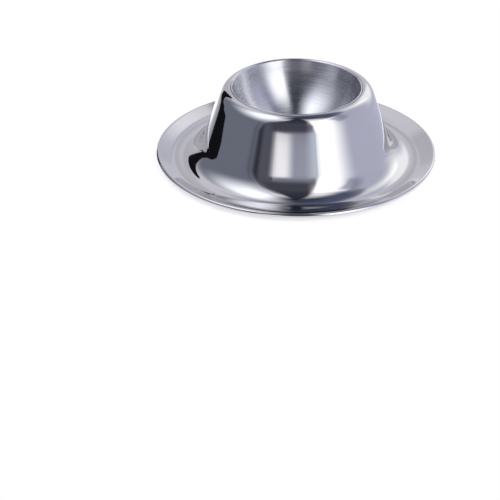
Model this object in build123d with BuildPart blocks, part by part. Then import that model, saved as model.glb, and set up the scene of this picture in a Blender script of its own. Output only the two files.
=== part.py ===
from build123d import *
from math import acos, atan2, cos, degrees, hypot, radians, sin
import os

# Egg cup in polished sheet steel: a bowl seated in the collar of a broad, hemmed shell.
# Millimetres, +Z up, origin on the table at the centre of the foot ring.

# Overall sizes
brim_diameter = 86.0
rim_height = 23.5
mouth_diameter = 39.1

# Sheet and fit
shell_sheet = 0.5
bowl_sheet = 0.4
fit_clearance = 0.05
seat_taper = 18.0
seat_length = 2.0

# Shell section, from the mouth outwards
collar_bend = 0.7
collar_roll = 15.0
shoulder_radius = 4.1
ease_radius = 25.0
ease_turn = 5.0
flare_radius = 7.8
foot_width = 0.6
well_radius = 5.0
brim_width = 6.4
brim_slope = 25.0
hem_radius = 0.65
hem_tail = 1.2

# Bowl section
lip_round = 0.25
lip_edge = 0.08

# Conical seat: the bowl's wall and the shell's collar lean alike, so the bowl sits in the collar from above
taper = radians(seat_taper)
mouth_radius = mouth_diameter / 2
wall_length = collar_bend / cos(taper) + seat_length

# Top of the shell, flush with the bowl's lip: the collar's face stands off the bowl's wall by the clearance
bend_z = rim_height - collar_bend
stack = bowl_sheet + fit_clearance + collar_bend
crest_radius = mouth_radius + (stack - collar_bend * sin(taper)) / cos(taper)
collar_top = (crest_radius - collar_bend * cos(taper), bend_z + collar_bend * sin(taper))
collar_end = (collar_top[0] - seat_length * sin(taper), collar_top[1] - seat_length * cos(taper))

# Centres of the shoulder arc, which goes on from the collar's bend, and of the flare arc
brim_radius = brim_diameter / 2
foot_outer = brim_radius - brim_width
foot_inner = foot_outer - foot_width
roll = radians(collar_roll)
shoulder_x = crest_radius - (shoulder_radius - collar_bend) * sin(roll)
shoulder_z = bend_z - (shoulder_radius - collar_bend) * cos(roll)
flare_z = shell_sheet + flare_radius

# Skirt: the straight run between two easing arcs, which stand off both centres by more than the arcs' radii
ease = radians(ease_turn)
stand_off = 2 * ease_radius - (2 * ease_radius - shoulder_radius - flare_radius) * cos(ease)
eased_length = (2 * ease_radius - shoulder_radius - flare_radius) * sin(ease)
reach = foot_inner - shoulder_x
drop = shoulder_z - flare_z
span = hypot(reach, drop)
skirt_lean = degrees(acos(stand_off / span) - atan2(drop, reach))
skirt_length = (span**2 - stand_off**2) ** 0.5 - eased_length
arc_turn = 90 - skirt_lean - ease_turn

# Brim: a straight run from the saucer's curve to the hem
slope = radians(brim_slope)
brim_start = foot_outer + well_radius * sin(slope)
brim_end = brim_radius - hem_radius - hem_radius * sin(slope)
brim_length = (brim_end - brim_start) / cos(slope)

# Bowl: a round floor that goes on from the wall and meets the axis level
wall_end = (mouth_radius - wall_length * sin(taper), rim_height - wall_length * cos(taper))
floor_radius = wall_end[0] / cos(taper)
bowl_depth = rim_height - wall_end[1] + floor_radius * (1 - sin(taper))

# Outer shell: its show side is drawn as one smooth line, from the collar to the hem's tail
with BuildPart() as outer_shell:
    with BuildSketch(Plane.XZ):
        with BuildLine():
            collar = Line(collar_end, collar_top)
            bend = JernArc(collar @ 1, collar % 1, collar_bend, seat_taper - 90 - collar_roll)
            shoulder = JernArc(bend @ 1, bend % 1, shoulder_radius, collar_roll - arc_turn)
            shoulder_ease = JernArc(shoulder @ 1, shoulder % 1, ease_radius, -ease_turn)
            skirt = PolarLine(shoulder_ease @ 1, skirt_length, direction=shoulder_ease % 1)
            flare_ease = JernArc(skirt @ 1, skirt % 1, ease_radius, ease_turn)
            flare = JernArc(flare_ease @ 1, flare_ease % 1, flare_radius, arc_turn)
            foot = PolarLine(flare @ 1, foot_width, direction=flare % 1)
            well = JernArc(foot @ 1, foot % 1, well_radius, brim_slope)
            brim = PolarLine(well @ 1, brim_length, direction=well % 1)
            hem = JernArc(brim @ 1, brim % 1, hem_radius, -180)
            PolarLine(hem @ 1, hem_tail, direction=hem % 1)
            offset(amount=shell_sheet, side=Side.RIGHT)
        make_face()
    revolve(axis=Axis.Z)

# Egg bowl: its inside is drawn as one smooth line, from the rim to the axis
with BuildPart() as egg_bowl:
    with BuildSketch(Plane.XZ) as bowl_section:
        with BuildLine():
            wall = Line((mouth_radius, rim_height), wall_end)
            JernArc(wall @ 1, wall % 1, floor_radius, seat_taper - 90)
            offset(amount=bowl_sheet, side=Side.LEFT)
        make_face()
        inner_edge, outer_edge = bowl_section.vertices().sort_by(Axis.Y)[-2:].sort_by(Axis.X)
        fillet(inner_edge, radius=lip_round)
        fillet(outer_edge, radius=lip_edge)
    revolve(axis=Axis.Z)

outer_shell.part.label = "outer_shell"
egg_bowl.part.label = "egg_bowl"
os.makedirs("parts", exist_ok=True)
export_step(outer_shell.part, "parts/outer_shell.step")
export_step(egg_bowl.part, "parts/egg_bowl.step")

print(f"skirt leans {skirt_lean:.2f} degrees, crest radius {crest_radius:.2f}, bowl {bowl_depth:.2f} deep")
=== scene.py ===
from math import acos, asin, atan2, ceil, copysign, cos, hypot, pi, radians, sin, tan, tau
from typing import NamedTuple

import bpy
from bpy.props import FloatProperty, FloatVectorProperty, IntProperty, PointerProperty
from mathutils import Euler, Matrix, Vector


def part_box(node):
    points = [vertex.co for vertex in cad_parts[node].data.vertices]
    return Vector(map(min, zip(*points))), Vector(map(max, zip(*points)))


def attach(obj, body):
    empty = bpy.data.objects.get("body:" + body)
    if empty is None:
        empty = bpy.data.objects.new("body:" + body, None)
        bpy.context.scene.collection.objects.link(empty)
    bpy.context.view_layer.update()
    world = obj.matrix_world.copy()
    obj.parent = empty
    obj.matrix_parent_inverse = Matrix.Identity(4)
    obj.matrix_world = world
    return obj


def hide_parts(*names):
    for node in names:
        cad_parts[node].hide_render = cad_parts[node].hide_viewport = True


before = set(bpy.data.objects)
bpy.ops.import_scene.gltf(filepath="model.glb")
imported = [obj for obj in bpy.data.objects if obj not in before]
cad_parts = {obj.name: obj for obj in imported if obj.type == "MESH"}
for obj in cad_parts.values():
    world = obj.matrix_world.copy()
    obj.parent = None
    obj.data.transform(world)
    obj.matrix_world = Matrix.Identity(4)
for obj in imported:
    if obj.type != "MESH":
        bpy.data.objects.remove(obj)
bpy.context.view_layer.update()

bl_info = {
    "name": "Egg Cup",
    "version": (1, 0, 0),
    "blender": (4, 5, 0),
    "location": "View3D > Sidebar > Egg Cup",
    "description": "A polished steel egg cup with a satin bowl, standing in a small studio",
    "category": "Add Mesh",
}

# What the CAD gives: the shell's own box and the brim's radius from it, in metres
SHELL_LOW, SHELL_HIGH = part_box("outer_shell")
BRIM_RADIUS = min(SHELL_HIGH.x, SHELL_HIGH.y, -SHELL_LOW.x, -SHELL_LOW.y)

MM = 0.001

# Fineness of the drawn sections, and what the lathe welds and leaves sharp
RUN_STEP = 0.5 * MM
BEND_STEP = radians(3.5)
WELD_DISTANCE = 0.0001 * MM
SHARP_ANGLE = radians(40)

# The camera's picture, and where the middle of the brim's hem lies in it, in pixels from its top left corner
IMAGE_SIDE = 500
HEM_CENTRE_PIXEL = (295.65, 149.67)
SENSOR_WIDTH = 36.0

# The round floor, and the corners of a card that fades out at its edges
FLOOR_SIDES = 128
CARD_UVS = (0, 0, 1, 0, 1, 1, 0, 1)

# Where Blender's Mix node has its colours, which share their names with its other kinds of socket
MIX_FIRST = 6
MIX_SECOND = 7
MIX_RESULT = 2


class EggCupShell(bpy.types.PropertyGroup):
    """Sizes of the shell's section, from the mouth outwards."""

    sheet: FloatProperty(
        name="Sheet", description="Thickness of the shell's sheet", default=0.5 * MM, unit="LENGTH"
    )
    collar_length: FloatProperty(
        name="Collar", description="Length of the turned-in collar", default=2.0 * MM, unit="LENGTH"
    )
    collar_bend: FloatProperty(
        name="Collar bend", description="Radius of the bend into the collar", default=0.7 * MM, unit="LENGTH"
    )
    collar_roll: FloatProperty(
        name="Collar roll",
        description="Turn of that bend past the crest",
        default=radians(15.0),
        unit="ROTATION",
    )
    shoulder_radius: FloatProperty(
        name="Shoulder", description="Radius of the rolled shoulder", default=4.1 * MM, unit="LENGTH"
    )
    ease_radius: FloatProperty(
        name="Ease",
        description="Radius of the arcs that ease into the skirt",
        default=25.0 * MM,
        unit="LENGTH",
    )
    ease_turn: FloatProperty(
        name="Ease turn", description="Turn of each of those arcs", default=radians(5.0), unit="ROTATION"
    )
    flare_radius: FloatProperty(
        name="Flare", description="Radius of the flare from skirt to saucer", default=7.8 * MM, unit="LENGTH"
    )
    foot_width: FloatProperty(
        name="Foot", description="Width of the level ring that it stands on", default=0.6 * MM, unit="LENGTH"
    )
    well_radius: FloatProperty(
        name="Well",
        description="Radius of the curve from the foot to the brim",
        default=5.0 * MM,
        unit="LENGTH",
    )
    brim_width: FloatProperty(
        name="Brim width", description="From the foot to the edge", default=6.4 * MM, unit="LENGTH"
    )
    brim_slope: FloatProperty(
        name="Brim slope", description="Rise of the brim above level", default=radians(25.0), unit="ROTATION"
    )
    hem_radius: FloatProperty(
        name="Hem",
        description="Outer radius of the hem that is rolled under",
        default=0.65 * MM,
        unit="LENGTH",
    )
    hem_tail: FloatProperty(
        name="Hem tail",
        description="Straight end of the hem, under the brim",
        default=1.2 * MM,
        unit="LENGTH",
    )


class EggCupBowl(bpy.types.PropertyGroup):
    """Sizes of the bowl's section, from the rim to the axis."""

    mouth_radius: FloatProperty(
        name="Mouth", description="Inner radius at the rim", default=19.55 * MM, unit="LENGTH"
    )
    sheet: FloatProperty(
        name="Sheet", description="Thickness of the bowl's sheet", default=0.4 * MM, unit="LENGTH"
    )
    clearance: FloatProperty(
        name="Clearance", description="Gap between bowl and collar", default=0.05 * MM, unit="LENGTH"
    )
    taper: FloatProperty(
        name="Taper",
        description="Lean of the seat that holds the bowl",
        default=radians(18.0),
        unit="ROTATION",
    )
    lip_round: FloatProperty(
        name="Lip", description="Rounding of the lip's inner edge", default=0.25 * MM, unit="LENGTH"
    )
    lip_edge: FloatProperty(
        name="Lip edge",
        description="Rounding of the lip's edge at the seam",
        default=0.08 * MM,
        unit="LENGTH",
    )


class EggCupFinish(bpy.types.PropertyGroup):
    """Colours and fineness of the two steel finishes."""

    facets: IntProperty(
        name="Facets", description="Facets round the axis", default=256, min=32
    )
    polished_colour: FloatVectorProperty(
        name="Polished",
        description="Colour of the mirror finish",
        default=(0.60, 0.595, 0.61),
        subtype="COLOR",
    )
    satin_colour: FloatVectorProperty(
        name="Satin",
        description="Colour of the brushed finish",
        default=(0.65, 0.65, 0.68),
        subtype="COLOR",
    )
    polished_roughness: FloatProperty(
        name="Polish", description="Mean roughness of the mirror finish", default=0.05, subtype="FACTOR"
    )
    satin_roughness: FloatProperty(
        name="Brushing", description="Mean roughness of the brushed finish", default=0.25, subtype="FACTOR"
    )


class EggCupStudio(bpy.types.PropertyGroup):
    """The camera's place and the level of the light."""

    camera_distance: FloatProperty(
        name="Distance", description="From the camera to the hem's centre", default=0.55, unit="LENGTH"
    )
    camera_elevation: FloatProperty(
        name="Elevation", description="Camera's height above level", default=radians(26.66), unit="ROTATION"
    )
    camera_lens: FloatProperty(
        name="Lens",
        description="Focal length in millimetres on a 36 mm sensor",
        default=128.06,
        unit="CAMERA",
    )
    floor_colour: FloatVectorProperty(
        name="Floor", description="Colour of the floor", default=(0.9, 0.9, 0.9), subtype="COLOR"
    )
    floor_radius: FloatProperty(
        name="Floor size", description="Radius of the round floor", default=54.0 * MM, unit="LENGTH"
    )
    floor_lift: FloatProperty(
        name="Floor lift",
        description="Light that the floor adds to its own, so that it looks white",
        default=0.5,
        min=0.0,
    )
    card_distance: FloatProperty(
        name="Cards",
        description="From the cup's sides to the cards beside it",
        default=150.0 * MM,
        unit="LENGTH",
    )


class SectionLine:
    """A smooth line in the section plane: straight runs and bends, with its direction at each point."""

    def __init__(self, radius, height, direction):
        self.points = [(radius, height, direction)]

    def run(self, length):
        """Goes straight on."""
        radius, height, direction = self.points[-1]
        count = ceil(length / RUN_STEP)
        for step in range(1, count + 1):
            gone = length * step / count
            self.points.append((radius + gone * cos(direction), height + gone * sin(direction), direction))

    def bend(self, bend_radius, turn):
        """Turns along an arc, to the left where turn is positive."""
        radius, height, direction = self.points[-1]
        swing = copysign(bend_radius, turn)
        centre_radius = radius - swing * sin(direction)
        centre_height = height + swing * cos(direction)
        count = max(ceil(abs(turn) / BEND_STEP), ceil(abs(turn) * bend_radius / RUN_STEP))
        for step in range(1, count + 1):
            heading = direction + turn * step / count
            self.points.append(
                (centre_radius + swing * sin(heading), centre_height - swing * cos(heading), heading)
            )

    def face(self, depth=0.0):
        """The line itself, or the one that lies to its right by depth."""
        return [(radius + depth * sin(d), height - depth * cos(d)) for radius, height, d in self.points]


def shell_section(shell, bowl):
    """The shell's closed section, with the show side first."""
    bend_z = SHELL_HIGH.z - shell.collar_bend
    stack = bowl.sheet + bowl.clearance + shell.collar_bend
    crest = bowl.mouth_radius + (stack - shell.collar_bend * sin(bowl.taper)) / cos(bowl.taper)

    # The straight skirt lies between two easing arcs, off the centres of the shoulder and the flare
    foot_outer = BRIM_RADIUS - shell.brim_width
    shoulder_drop = shell.shoulder_radius - shell.collar_bend
    reach = foot_outer - shell.foot_width - crest + shoulder_drop * sin(shell.collar_roll)
    drop = bend_z - shoulder_drop * cos(shell.collar_roll) - shell.sheet - shell.flare_radius
    eased = 2 * shell.ease_radius - shell.shoulder_radius - shell.flare_radius
    stand_off = 2 * shell.ease_radius - eased * cos(shell.ease_turn)
    span = hypot(reach, drop)
    skirt_lean = acos(stand_off / span) - atan2(drop, reach)
    skirt_length = (span**2 - stand_off**2) ** 0.5 - eased * sin(shell.ease_turn)
    arc_turn = pi / 2 - skirt_lean - shell.ease_turn
    brim_start = foot_outer + shell.well_radius * sin(shell.brim_slope)
    brim_end = BRIM_RADIUS - shell.hem_radius * (1 + sin(shell.brim_slope))

    line = SectionLine(
        crest - shell.collar_bend * cos(bowl.taper) - shell.collar_length * sin(bowl.taper),
        bend_z + shell.collar_bend * sin(bowl.taper) - shell.collar_length * cos(bowl.taper),
        pi / 2 - bowl.taper,
    )
    line.run(shell.collar_length)
    line.bend(shell.collar_bend, bowl.taper - pi / 2 - shell.collar_roll)
    line.bend(shell.shoulder_radius, shell.collar_roll - arc_turn)
    line.bend(shell.ease_radius, -shell.ease_turn)
    line.run(skirt_length)
    line.bend(shell.ease_radius, shell.ease_turn)
    line.bend(shell.flare_radius, arc_turn)
    line.run(shell.foot_width)
    line.bend(shell.well_radius, shell.brim_slope)
    line.run((brim_end - brim_start) / cos(shell.brim_slope))
    line.bend(shell.hem_radius, -pi)
    line.run(shell.hem_tail)

    show_side = line.face()
    hidden_side = line.face(shell.sheet)[::-1]
    return show_side + hidden_side + show_side[:1]


def hem_height(shell):
    """Height of the middle of the brim's hem."""
    rise = shell.brim_slope
    run = shell.brim_width - shell.well_radius * sin(rise) - shell.hem_radius * (1 + sin(rise))
    brim_top = shell.sheet + shell.well_radius * (1 - cos(rise)) + run * tan(rise)
    return brim_top - shell.hem_radius * cos(rise)


def bowl_section(shell, bowl):
    """The bowl's section from the axis to the axis, with the inside first."""
    lean = bowl.taper
    rim_height = SHELL_HIGH.z
    wall_length = shell.collar_bend / cos(lean) + shell.collar_length
    floor_radius = (bowl.mouth_radius - wall_length * sin(lean)) / cos(lean)

    inside = SectionLine(
        bowl.mouth_radius - bowl.lip_round * sin(lean),
        rim_height - bowl.lip_round * cos(lean),
        -pi / 2 - lean,
    )
    inside.run(wall_length - bowl.lip_round)
    inside.bend(floor_radius, lean - pi / 2)
    outside = inside.face(-bowl.sheet)

    lip = SectionLine(*outside[0], pi / 2 - lean)
    lip.run(bowl.lip_round - bowl.lip_edge)
    lip.bend(bowl.lip_edge, pi / 2)
    lip.run(bowl.sheet - bowl.lip_round - bowl.lip_edge)
    lip.bend(bowl.lip_round, pi / 2)

    return inside.face()[::-1] + lip.face()[::-1] + outside[1:]


def add_node(tree, kind, inputs=None, **settings):
    """Adds one node, sets it up and gives each named input a value or a link."""
    made = tree.nodes.new(kind)
    for name, value in settings.items():
        setattr(made, name, value)
    for name, value in (inputs or {}).items():
        if isinstance(value, bpy.types.NodeSocket):
            tree.links.new(value, made.inputs[name])
        else:
            made.inputs[name].default_value = value
    return made


def maths(tree, operation, *values):
    """One Math node over numbers or sockets; gives its result."""
    return add_node(tree, "ShaderNodeMath", dict(enumerate(values)), operation=operation).outputs[0]


def lathe_tree():
    """Geometry Nodes that turn a section's points round the Z axis into one closed, smooth mesh."""
    tree = bpy.data.node_groups.new("Sheet lathe", "GeometryNodeTree")
    sockets = tree.interface
    sockets.new_socket("Section", in_out="INPUT", socket_type="NodeSocketGeometry")
    facets = sockets.new_socket("Facets", in_out="INPUT", socket_type="NodeSocketInt")
    weld = sockets.new_socket("Weld distance", in_out="INPUT", socket_type="NodeSocketFloat")
    sharp = sockets.new_socket("Sharp angle", in_out="INPUT", socket_type="NodeSocketFloat")
    finish = sockets.new_socket("Finish", in_out="INPUT", socket_type="NodeSocketMaterial")
    sockets.new_socket("Mesh", in_out="OUTPUT", socket_type="NodeSocketGeometry")
    given = tree.nodes.new("NodeGroupInput").outputs

    # A unit grid: its width goes round the axis, its height along the section
    section = {"Geometry": given["Section"]}
    size = add_node(tree, "GeometryNodeAttributeDomainSize", section, component="MESH")
    rows = size.outputs["Point Count"]
    columns = maths(tree, "ADD", given["Facets"], 1)
    grid = add_node(
        tree,
        "GeometryNodeMeshGrid",
        {"Size X": 1.0, "Size Y": 1.0, "Vertices X": columns, "Vertices Y": rows},
    )
    position = add_node(tree, "GeometryNodeInputPosition").outputs[0]
    place = add_node(tree, "ShaderNodeSeparateXYZ", {0: position}).outputs
    angle = maths(tree, "MULTIPLY", maths(tree, "ADD", place["X"], 0.5), tau)
    last_row = maths(tree, "SUBTRACT", rows, 1)
    row = maths(tree, "ROUND", maths(tree, "MULTIPLY", maths(tree, "ADD", place["Y"], 0.5), last_row))

    def of_section(data_type, value):
        """What the section's point of this row holds."""
        inputs = {**section, "Index": row}
        sample = add_node(tree, "GeometryNodeSampleIndex", inputs, data_type=data_type)
        tree.links.new(value, sample.inputs["Value"])
        return sample.outputs["Value"]

    point = of_section("FLOAT_VECTOR", position)
    named = add_node(tree, "GeometryNodeInputNamedAttribute", {"Name": "along"})
    along = of_section("FLOAT", named.outputs[0])

    part = add_node(tree, "ShaderNodeSeparateXYZ", {0: point}).outputs
    turned = add_node(
        tree,
        "ShaderNodeCombineXYZ",
        {
            "X": maths(tree, "MULTIPLY", part["X"], maths(tree, "COSINE", angle)),
            "Y": maths(tree, "MULTIPLY", part["X"], maths(tree, "SINE", angle)),
            "Z": part["Z"],
        },
    ).outputs[0]
    mesh = add_node(
        tree,
        "GeometryNodeStoreNamedAttribute",
        {"Geometry": grid.outputs["Mesh"], "Name": "along", "Value": along},
    ).outputs[0]
    mesh = add_node(tree, "GeometryNodeSetPosition", {"Geometry": mesh, "Position": turned}).outputs[0]
    mesh = add_node(
        tree, "GeometryNodeMergeByDistance", {"Geometry": mesh, "Distance": given["Weld distance"]}
    ).outputs[0]

    # Smooth all over, except at the sheet's cut edges
    edge = add_node(tree, "GeometryNodeInputMeshEdgeAngle").outputs["Unsigned Angle"]
    limits = {0: edge, 1: given["Sharp angle"]}
    is_cut = add_node(tree, "FunctionNodeCompare", limits, operation="GREATER_THAN")
    mesh = add_node(tree, "GeometryNodeSetShadeSmooth", {"Geometry": mesh}, domain="FACE").outputs[0]
    mesh = add_node(
        tree,
        "GeometryNodeSetShadeSmooth",
        {"Geometry": mesh, "Selection": is_cut.outputs[0], "Shade Smooth": False},
        domain="EDGE",
    ).outputs[0]
    mesh = add_node(tree, "GeometryNodeRealizeInstances", {"Geometry": mesh}).outputs[0]
    coated = add_node(tree, "GeometryNodeSetMaterial", {"Geometry": mesh, "Material": given["Finish"]})
    add_node(tree, "NodeGroupOutput", {"Mesh": coated.outputs[0]})
    return tree, {"facets": facets, "weld": weld, "sharp": sharp, "finish": finish}


def turn_piece(name, node, section, facets, finish):
    """Turns a section into a finished piece that stands for the CAD node of the same shape."""
    mesh = bpy.data.meshes.new(name + "_section")
    mesh.from_pydata([(radius, 0.0, height) for radius, height in section], [], [])
    along = [0.0]
    for (r0, z0), (r1, z1) in zip(section, section[1:]):
        along.append(along[-1] + hypot(r1 - r0, z1 - z0))
    mesh.attributes.new("along", "FLOAT", "POINT").data.foreach_set("value", along)

    blank = bpy.data.objects.new(name + "_section", mesh)
    bpy.context.scene.collection.objects.link(blank)
    tree, sockets = lathe_tree()
    lathe = blank.modifiers.new("Sheet lathe", "NODES")
    lathe.node_group = tree
    lathe[sockets["facets"].identifier] = facets
    lathe[sockets["weld"].identifier] = WELD_DISTANCE
    lathe[sockets["sharp"].identifier] = SHARP_ANGLE
    lathe[sockets["finish"].identifier] = finish

    turned = blank.evaluated_get(bpy.context.evaluated_depsgraph_get())
    piece = bpy.data.objects.new(name, bpy.data.meshes.new_from_object(turned))
    bpy.data.objects.remove(blank)
    bpy.context.scene.collection.objects.link(piece)
    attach(piece, "root")
    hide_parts(node)
    return piece


def new_material(name):
    """An empty node material and its tree."""
    material = bpy.data.materials.new(name)
    material.use_nodes = True
    material.node_tree.nodes.clear()
    return material, material.node_tree


class Lines(NamedTuple):
    """Lines round the cup, as a lathe or a polishing wheel leaves them."""

    to_the_metre: float
    spread: float
    detail: float


# Noise lies mostly between these values
NOISE_LOW = 0.25
NOISE_HIGH = 0.75

# Mirror finish: wiped clouds and slow swells, in cells to the metre, lines, and what they do to the steel
CLOUD_CELLS = 90.0
CLOUD_DETAIL = 3.0
CLOUD_SHARE = 0.6
SWELL_CELLS = 45.0
SWELL_DETAIL = 1.0
SWELL_DEPTH = 0.02 * MM
POLISHING = Lines(2500.0, 1.5, 2.0)
POLISHING_DEPTH = 0.0004 * MM
POLISHED_TINT = 0.03
POLISHED_SWING = 0.4

# Brushed finish: two sets of lines, and what they do to the steel
FINE_BRUSHING = Lines(5000.0, 1.0, 3.0)
COARSE_BRUSHING = Lines(1800.0, 1.5, 2.0)
FINE_SHARE = 0.6
BRUSHING_DEPTH = 0.003 * MM
SATIN_TINT = 0.12
SATIN_SWING = 0.25
SATIN_STRETCH = 0.95
ACROSS_THE_LINES = 0.25


def noise(tree, where, scale, detail):
    """Noise about one half."""
    inputs = {"Vector": where, "Scale": scale, "Detail": detail}
    return add_node(tree, "ShaderNodeTexNoise", inputs).outputs["Fac"]


def turning_lines(tree, lines):
    """Noise that is drawn out round the axis and changes along the section."""

    def vector(operation, inputs):
        """One Vector Math node; gives its result."""
        return add_node(tree, "ShaderNodeVectorMath", inputs, operation=operation).outputs[0]

    place = add_node(tree, "ShaderNodeTexCoord").outputs["Object"]
    level = vector("MULTIPLY", {0: place, 1: (1.0, 1.0, 0.0)})
    outward = vector("NORMALIZE", {0: level})
    ring = vector("SCALE", {0: outward, "Scale": lines.spread})
    along = add_node(tree, "ShaderNodeAttribute", attribute_name="along").outputs["Fac"]
    steps = maths(tree, "MULTIPLY", along, lines.to_the_metre)
    up = add_node(tree, "ShaderNodeCombineXYZ", {"Z": steps}).outputs[0]
    return noise(tree, vector("ADD", {0: ring, 1: up}), 1.0, lines.detail)


def blended(tree, first, second, share):
    """Two noises added up, the first by its share and the second by the rest."""
    rest = maths(tree, "MULTIPLY", second, 1.0 - share)
    return maths(tree, "ADD", maths(tree, "MULTIPLY", first, share), rest)


def varied(tree, value, mean, swing):
    """A mean that noise moves up and down by a share of it."""
    ends = {
        "Value": value,
        "From Min": NOISE_LOW,
        "From Max": NOISE_HIGH,
        "To Min": mean * (1.0 - swing),
        "To Max": mean * (1.0 + swing),
    }
    return add_node(tree, "ShaderNodeMapRange", ends).outputs[0]


def tinted(tree, colour, value, swing):
    """A colour made lighter and darker by noise."""
    inputs = {0: tuple(colour), "Scale": varied(tree, value, 1.0, swing)}
    return add_node(tree, "ShaderNodeVectorMath", inputs, operation="SCALE").outputs[0]


def relief(tree, height, depth, under=None):
    """The normal of a relief of this depth, laid over another one where that is given."""
    inputs = {"Height": height, "Strength": 1.0, "Distance": depth}
    if under is not None:
        inputs["Normal"] = under
    return add_node(tree, "ShaderNodeBump", inputs).outputs[0]


def polished_steel(look):
    """Mirror finish: faint rings from the polishing wheel, soft clouds where it was wiped, hardly uneven."""
    material, tree = new_material("polished_steel")
    place = add_node(tree, "ShaderNodeTexCoord").outputs["Object"]
    clouds = noise(tree, place, CLOUD_CELLS, CLOUD_DETAIL)
    swell = noise(tree, place, SWELL_CELLS, SWELL_DETAIL)
    rings = turning_lines(tree, POLISHING)
    wipe = blended(tree, clouds, rings, CLOUD_SHARE)
    uneven = relief(tree, swell, SWELL_DEPTH)
    steel = add_node(
        tree,
        "ShaderNodeBsdfPrincipled",
        {
            "Base Color": tinted(tree, look.polished_colour, wipe, POLISHED_TINT),
            "Metallic": 1.0,
            "Roughness": varied(tree, wipe, look.polished_roughness, POLISHED_SWING),
            "Normal": relief(tree, rings, POLISHING_DEPTH, uneven),
        },
    )
    add_node(tree, "ShaderNodeOutputMaterial", {"Surface": steel.outputs[0]})
    return material


def satin_steel(look):
    """Brushed finish: fine lines round the axis, which draw reflections out upwards."""
    material, tree = new_material("satin_steel")
    fine = turning_lines(tree, FINE_BRUSHING)
    coarse = turning_lines(tree, COARSE_BRUSHING)
    lines = blended(tree, fine, coarse, FINE_SHARE)
    turned = add_node(tree, "ShaderNodeTangent", direction_type="RADIAL", axis="Z")
    steel = add_node(
        tree,
        "ShaderNodeBsdfPrincipled",
        {
            "Base Color": tinted(tree, look.satin_colour, lines, SATIN_TINT),
            "Metallic": 1.0,
            "Roughness": varied(tree, lines, look.satin_roughness, SATIN_SWING),
            "Anisotropic": SATIN_STRETCH,
            "Anisotropic Rotation": ACROSS_THE_LINES,
            "Normal": relief(tree, lines, BRUSHING_DEPTH),
            "Tangent": turned.outputs[0],
        },
    )
    add_node(tree, "ShaderNodeOutputMaterial", {"Surface": steel.outputs[0]})
    return material


class Panel(NamedTuple):
    """One panel of the studio, as the cup sees it.

    In degrees, round from the camera to the right, and above level. Lean and narrowing are in degrees
    for each degree above level.
    """

    name: str
    centre: float
    half_width: float
    bottom: float
    top: float
    colour: tuple
    strength: float = 1.0
    lean: float = 0.0
    narrowing: float = 0.0
    side_blur: float = 2.0
    bottom_blur: float = 2.0
    top_blur: float = 2.0


# Below all that the cup sees, and past the point straight above it
LOW = -60
OVERHEAD = 95
WHITE = (1.0, 1.0, 1.0)

# The studio from the back to the front: what comes later stands before what comes earlier
PANELS = (
    Panel("back wall", 180, 83, LOW, 76, (0.66, 0.65, 0.71), side_blur=32, top_blur=18),
    Panel("back wall above", 180, 45, 34, 58, (0.86, 0.85, 0.92), side_blur=30, bottom_blur=8, top_blur=16),
    Panel("back board left", 171, 4.5, -10, 32, (0.8, 0.79, 0.85), side_blur=4, top_blur=10),
    Panel("back board right", -171, 4.5, -10, 30, (0.77, 0.76, 0.82), side_blur=4, top_blur=10),
    Panel("right softbox", 56, 32, LOW, 67, WHITE, 2.0, side_blur=6, top_blur=4),
    Panel("right softbox top", 56, 32, 58, 67, WHITE, 1.25, side_blur=6, bottom_blur=8, top_blur=4),
    Panel("navy gap", 134, 64, 53, 85, (0.11, 0.13, 0.21), side_blur=50, bottom_blur=23, top_blur=8),
    Panel(
        "right wall", 114, 55, LOW, 51, (0.63, 0.65, 0.8),
        lean=-0.23, narrowing=0.3, side_blur=38, top_blur=8,
    ),
    Panel("right wall above", 117, 52, 20, 51, (0.62, 0.64, 0.79), side_blur=8, bottom_blur=20, top_blur=8),
    Panel(
        "navy streak", 61, 8, 20, 56, (0.38, 0.4, 0.51),
        lean=0.55, side_blur=22, bottom_blur=26, top_blur=8,
    ),
    Panel("right glow", 142, 14, -2, 54, (0.95, 0.96, 1.0), side_blur=25, bottom_blur=10, top_blur=6),
    Panel("back lamp", 143, 6, 14, 42, WHITE, 1.8, side_blur=22, bottom_blur=26, top_blur=26),
    Panel("left wall", -90, 49, LOW, 84, (0.21, 0.225, 0.285), side_blur=20, top_blur=6),
    Panel(
        "left softbox", -71, 36, 48, 90, (0.93, 0.95, 1.0), 2.4,
        lean=-0.33, narrowing=-0.12, side_blur=62, bottom_blur=62,
    ),
    Panel("left edge light", -167, 17, LOW, 0, (0.96, 0.98, 1.0), 1.45, side_blur=6, top_blur=8),
    Panel("pale strip", -51, 6, -10, 67, (0.46, 0.48, 0.58), lean=0.35, side_blur=4, top_blur=15),
    Panel(
        "camera side", -25, 33.5, LOW, OVERHEAD, (0.045, 0.05, 0.07),
        lean=0.4, narrowing=0.1, side_blur=15,
    ),
    Panel("camera side below", -10, 35, LOW, 39, (0.125, 0.13, 0.165), side_blur=6, top_blur=70),
    Panel("dark ceiling", 0, 200, 78, OVERHEAD, (0.03, 0.035, 0.055), bottom_blur=22),
    Panel("front card", 0, 27, LOW, 13, (0.5, 0.52, 0.63), side_blur=1, top_blur=14),
    Panel("front card left", -17, 10, LOW, 10.5, (1.0, 0.985, 1.0), 1.4, side_blur=14, top_blur=4),
    Panel("front card right", 24, 5, LOW, 11, (0.8, 0.88, 1.0), side_blur=20, top_blur=5),
)


class Card(NamedTuple):
    """A card near the cup.

    Its corners are where one place of the cup, given in metres, sees them, in degrees as a panel's are.
    A card of four corners may fade out towards its edges, over the given share of its width.
    """

    name: str
    seen_from: tuple
    corners: tuple
    colour: tuple
    strength: float = 1.0
    blur: float = 0.0


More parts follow.
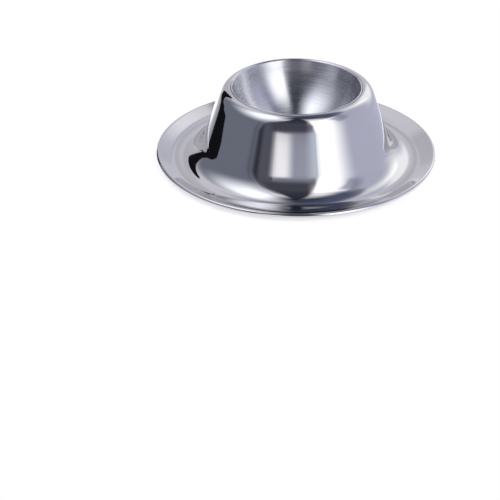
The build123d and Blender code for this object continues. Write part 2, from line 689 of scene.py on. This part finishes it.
# Each is placed by the steel that shows it: the skirt's left, the flare's right and the bowl's far wall
CARDS = (
    Card(
        "black_flag",
        (-28.0 * MM, -5.0 * MM, 13.0 * MM),
        (
            (-132, -16),
            (-102, -16),
            (-104, -6),
            (-112, -4),
            (-121, -3),
            (-130, 3),
            (-139, 20),
            (-149, 37),
            (-157, 37),
            (-154, 16),
            (-143, 0),
        ),
        (0.008, 0.008, 0.011),
    ),
    Card(
        "white_card",
        (33.0 * MM, 5.0 * MM, 3.0 * MM),
        ((141, 4), (171, 4), (171, 46), (141, 46)),
        (0.97, 0.98, 1.0),
        1.35,
        0.3,
    ),
    Card(
        "dark_card",
        (0.0, 19.0 * MM, 20.0 * MM),
        ((-32, 4), (18, 4), (18, 34), (-32, 34)),
        (0.083, 0.086, 0.11),
        1.0,
        0.2,
    ),
)


def panel_group():
    """Shader group that lays one panel over what lies behind it."""
    tree = bpy.data.node_groups.new("Studio panel", "ShaderNodeTree")
    sockets = tree.interface
    sockets.new_socket("Behind", in_out="INPUT", socket_type="NodeSocketColor")
    sockets.new_socket("Colour", in_out="INPUT", socket_type="NodeSocketColor")
    names = ("Round", "Above", "Centre", "Half width", "Bottom", "Top", "Strength")
    for name in (*names, "Lean", "Narrowing", "Side blur", "Bottom blur", "Top blur"):
        sockets.new_socket(name, in_out="INPUT", socket_type="NodeSocketFloat")
    sockets.new_socket("Seen", in_out="OUTPUT", socket_type="NodeSocketColor")
    given = tree.nodes.new("NodeGroupInput").outputs

    def step(value, edge, blur):
        """0 well below an edge and 1 well above it."""
        half = maths(tree, "MULTIPLY", blur, 0.5)
        ends = {
            "Value": value,
            "From Min": maths(tree, "SUBTRACT", edge, half),
            "From Max": maths(tree, "ADD", edge, half),
        }
        return add_node(tree, "ShaderNodeMapRange", ends, interpolation_type="SMOOTHSTEP").outputs[0]

    centre = maths(tree, "ADD", given["Centre"], maths(tree, "MULTIPLY", given["Lean"], given["Above"]))
    off = maths(tree, "WRAP", maths(tree, "SUBTRACT", given["Round"], centre), -180.0, 180.0)
    shrink = maths(tree, "MULTIPLY", given["Narrowing"], given["Above"])
    half_width = maths(tree, "SUBTRACT", given["Half width"], shrink)
    outside = step(maths(tree, "ABSOLUTE", off), half_width, given["Side blur"])
    over = step(given["Above"], given["Top"], given["Top blur"])
    from_bottom = step(given["Above"], given["Bottom"], given["Bottom blur"])
    within = maths(tree, "SUBTRACT", 1.0, outside)
    under = maths(tree, "SUBTRACT", 1.0, over)
    cover = maths(tree, "MULTIPLY", maths(tree, "MULTIPLY", within, under), from_bottom)
    light = add_node(
        tree, "ShaderNodeVectorMath", {0: given["Colour"], "Scale": given["Strength"]}, operation="SCALE"
    )
    mixed = add_node(tree, "ShaderNodeMix", {"Factor": cover}, data_type="RGBA")
    tree.links.new(given["Behind"], mixed.inputs[MIX_FIRST])
    tree.links.new(light.outputs[0], mixed.inputs[MIX_SECOND])
    add_node(tree, "NodeGroupOutput", {"Seen": mixed.outputs[MIX_RESULT]})
    return tree


def studio_world():
    """White all round, with the studio's panels before it; the camera and glass see plain white alone."""
    world = bpy.data.worlds.new("studio")
    world.use_nodes = True
    tree = world.node_tree
    tree.nodes.clear()
    toward = add_node(tree, "ShaderNodeTexCoord").outputs["Generated"]
    part = add_node(tree, "ShaderNodeSeparateXYZ", {0: toward}).outputs
    front = maths(tree, "MULTIPLY", part["Y"], -1.0)
    round_ = maths(tree, "DEGREES", maths(tree, "ARCTAN2", part["X"], front))
    above = maths(tree, "DEGREES", maths(tree, "ARCSINE", part["Z"]))
    seen = add_node(tree, "ShaderNodeRGB").outputs[0]
    seen.default_value = (*WHITE, 1.0)
    group = panel_group()
    for panel in PANELS:
        laid = add_node(tree, "ShaderNodeGroup", node_tree=group, label=panel.name)
        tree.links.new(seen, laid.inputs["Behind"])
        tree.links.new(round_, laid.inputs["Round"])
        tree.links.new(above, laid.inputs["Above"])
        laid.inputs["Colour"].default_value = (*panel.colour, 1.0)
        for key, value in panel._asdict().items():
            if key not in ("name", "colour"):
                laid.inputs[key.replace("_", " ").capitalize()].default_value = value
        seen = laid.outputs["Seen"]
    studio = add_node(tree, "ShaderNodeBackground", {"Color": seen, "Strength": 1.0})
    white = add_node(tree, "ShaderNodeBackground", {"Color": (*WHITE, 1.0), "Strength": 1.0})
    ray = add_node(tree, "ShaderNodeLightPath").outputs
    through = maths(tree, "MAXIMUM", ray["Is Camera Ray"], ray["Is Transmission Ray"])
    shown = add_node(tree, "ShaderNodeMixShader", {0: through})
    tree.links.new(studio.outputs[0], shown.inputs[1])
    tree.links.new(white.outputs[0], shown.inputs[2])
    add_node(tree, "ShaderNodeOutputWorld", {"Surface": shown.outputs[0]})
    bpy.context.scene.world = world


def floor_material(studio):
    """Pale matt floor that keeps the cup's shadow and looks white to the camera and in the steel."""
    material, tree = new_material("floor")
    ray = add_node(tree, "ShaderNodeLightPath").outputs
    matt = add_node(tree, "ShaderNodeBsdfDiffuse", {"Color": (*studio.floor_colour, 1.0)})
    direct = maths(tree, "MAXIMUM", ray["Is Camera Ray"], ray["Is Transmission Ray"])
    seen = maths(tree, "MAXIMUM", direct, ray["Is Glossy Ray"])
    strength = maths(tree, "MULTIPLY", seen, studio.floor_lift)
    lift = add_node(tree, "ShaderNodeEmission", {"Strength": strength})
    both = add_node(tree, "ShaderNodeAddShader")
    tree.links.new(matt.outputs[0], both.inputs[0])
    tree.links.new(lift.outputs[0], both.inputs[1])
    add_node(tree, "ShaderNodeOutputMaterial", {"Surface": both.outputs[0]})
    return material


def add_stage_piece(name, corners, material):
    """One flat face of the stage."""
    mesh = bpy.data.meshes.new(name)
    mesh.from_pydata(corners, [], [range(len(corners))])
    mesh.materials.append(material)
    piece = bpy.data.objects.new(name, mesh)
    bpy.context.scene.collection.objects.link(piece)
    return piece


def add_floor(studio):
    """A small round floor under the foot ring, so that the skirt sees the studio below level too."""
    turns = [tau * i / FLOOR_SIDES for i in range(FLOOR_SIDES)]
    edge = [(studio.floor_radius * cos(turn), studio.floor_radius * sin(turn), 0.0) for turn in turns]
    add_stage_piece("floor", edge, floor_material(studio))


def card_material(card):
    """Light of one colour, which may fade out towards the card's edges."""
    material, tree = new_material(card.name)
    shown = add_node(tree, "ShaderNodeEmission", {"Color": (*card.colour, 1.0), "Strength": card.strength})
    if card.blur:
        spot = add_node(tree, "ShaderNodeUVMap").outputs[0]
        part = add_node(tree, "ShaderNodeSeparateXYZ", {0: spot}).outputs
        cover = 1.0
        for axis in ("X", "Y"):
            from_edge = maths(tree, "MINIMUM", part[axis], maths(tree, "SUBTRACT", 1.0, part[axis]))
            ends = {"Value": from_edge, "From Max": card.blur}
            fade = add_node(tree, "ShaderNodeMapRange", ends, interpolation_type="SMOOTHSTEP").outputs[0]
            cover = maths(tree, "MULTIPLY", cover, fade)
        clear = add_node(tree, "ShaderNodeBsdfTransparent")
        mixed = add_node(tree, "ShaderNodeMixShader", {0: cover})
        tree.links.new(clear.outputs[0], mixed.inputs[1])
        tree.links.new(shown.outputs[0], mixed.inputs[2])
        shown = mixed
    add_node(tree, "ShaderNodeOutputMaterial", {"Surface": shown.outputs[0]})
    return material


def add_card(card, distance):
    """A card that only shows in the steel."""
    corners = []
    for round_, above in card.corners:
        turn = radians(round_)
        toward = Vector((sin(turn), -cos(turn), tan(radians(above))))
        corners.append(Vector(card.seen_from) + distance * toward)
    piece = add_stage_piece(card.name, corners, card_material(card))
    if card.blur:
        piece.data.uv_layers.new().data.foreach_set("uv", CARD_UVS)
    piece.visible_camera = False
    piece.visible_diffuse = False
    piece.visible_shadow = False


def add_camera(studio, target_height):
    """The camera, aimed so that the hem's centre falls on its pixel of the picture."""
    rise = studio.camera_elevation
    lens = bpy.data.cameras.new("camera")
    lens.lens = studio.camera_lens
    lens.sensor_width = SENSOR_WIDTH
    focal_pixels = studio.camera_lens / SENSOR_WIDTH * IMAGE_SIDE
    right = (HEM_CENTRE_PIXEL[0] - IMAGE_SIDE / 2) / focal_pixels
    up = (IMAGE_SIDE / 2 - HEM_CENTRE_PIXEL[1]) / focal_pixels
    turn = asin(right / hypot(right, up, 1.0) / cos(rise))
    tilt = atan2(sin(rise), cos(rise) * cos(turn)) + atan2(up, 1.0)
    camera = bpy.data.objects.new("camera", lens)
    back = Vector((0.0, -cos(rise), sin(rise)))
    camera.location = Vector((0.0, 0.0, target_height)) + studio.camera_distance * back
    camera.rotation_euler = Euler((pi / 2 - tilt, 0.0, turn))
    bpy.context.scene.collection.objects.link(camera)
    bpy.context.scene.camera = camera


class EGGCUP_OT_shell(bpy.types.Operator):
    """Adds the polished shell"""

    bl_idname = "egg_cup.add_shell"
    bl_label = "Add shell"

    def execute(self, context):
        scene = context.scene
        section = shell_section(scene.egg_cup_shell, scene.egg_cup_bowl)
        finish = polished_steel(scene.egg_cup_finish)
        facets = scene.egg_cup_finish.facets
        piece = turn_piece("polished_shell", "outer_shell", section, facets, finish)
        return {"FINISHED"}


class EGGCUP_OT_bowl(bpy.types.Operator):
    """Adds the satin bowl"""

    bl_idname = "egg_cup.add_bowl"
    bl_label = "Add bowl"

    def execute(self, context):
        scene = context.scene
        section = bowl_section(scene.egg_cup_shell, scene.egg_cup_bowl)
        finish = satin_steel(scene.egg_cup_finish)
        facets = scene.egg_cup_finish.facets
        piece = turn_piece("satin_bowl", "egg_bowl", section, facets, finish)
        return {"FINISHED"}


class EGGCUP_OT_stage(bpy.types.Operator):
    """Sets the floor, the studio and the camera"""

    bl_idname = "egg_cup.set_stage"
    bl_label = "Set stage"

    def execute(self, context):
        scene = context.scene
        scene.view_settings.view_transform = "Standard"
        add_floor(scene.egg_cup_studio)
        for card in CARDS:
            add_card(card, scene.egg_cup_studio.card_distance)
        studio_world()
        add_camera(scene.egg_cup_studio, hem_height(scene.egg_cup_shell))
        return {"FINISHED"}


class EGGCUP_PT_sidebar(bpy.types.Panel):
    """Sizes, finishes and steps of the egg cup"""

    bl_idname = "EGGCUP_PT_sidebar"
    bl_label = "Egg Cup"
    bl_space_type = "VIEW_3D"
    bl_region_type = "UI"
    bl_category = "Egg Cup"

    def draw(self, context):
        layout = self.layout
        for name in SETTINGS:
            group = getattr(context.scene, name)
            box = layout.box()
            for key in group.bl_rna.properties.keys():
                if key not in ("rna_type", "name"):
                    box.prop(group, key)
        for step in STEPS:
            layout.operator(step.bl_idname)


SETTINGS = {
    "egg_cup_shell": EggCupShell,
    "egg_cup_bowl": EggCupBowl,
    "egg_cup_finish": EggCupFinish,
    "egg_cup_studio": EggCupStudio,
}
STEPS = (EGGCUP_OT_shell, EGGCUP_OT_bowl, EGGCUP_OT_stage)
CLASSES = (*SETTINGS.values(), *STEPS, EGGCUP_PT_sidebar)


def register():
    for cls in CLASSES:
        bpy.utils.register_class(cls)
    for name, group in SETTINGS.items():
        setattr(bpy.types.Scene, name, PointerProperty(type=group))


def unregister():
    for name in SETTINGS:
        delattr(bpy.types.Scene, name)
    for cls in reversed(CLASSES):
        bpy.utils.unregister_class(cls)


def main():
    register()
    bpy.ops.egg_cup.add_shell()
    bpy.ops.egg_cup.add_bowl()
    bpy.ops.egg_cup.set_stage()


if __name__ == "__main__":
    main()
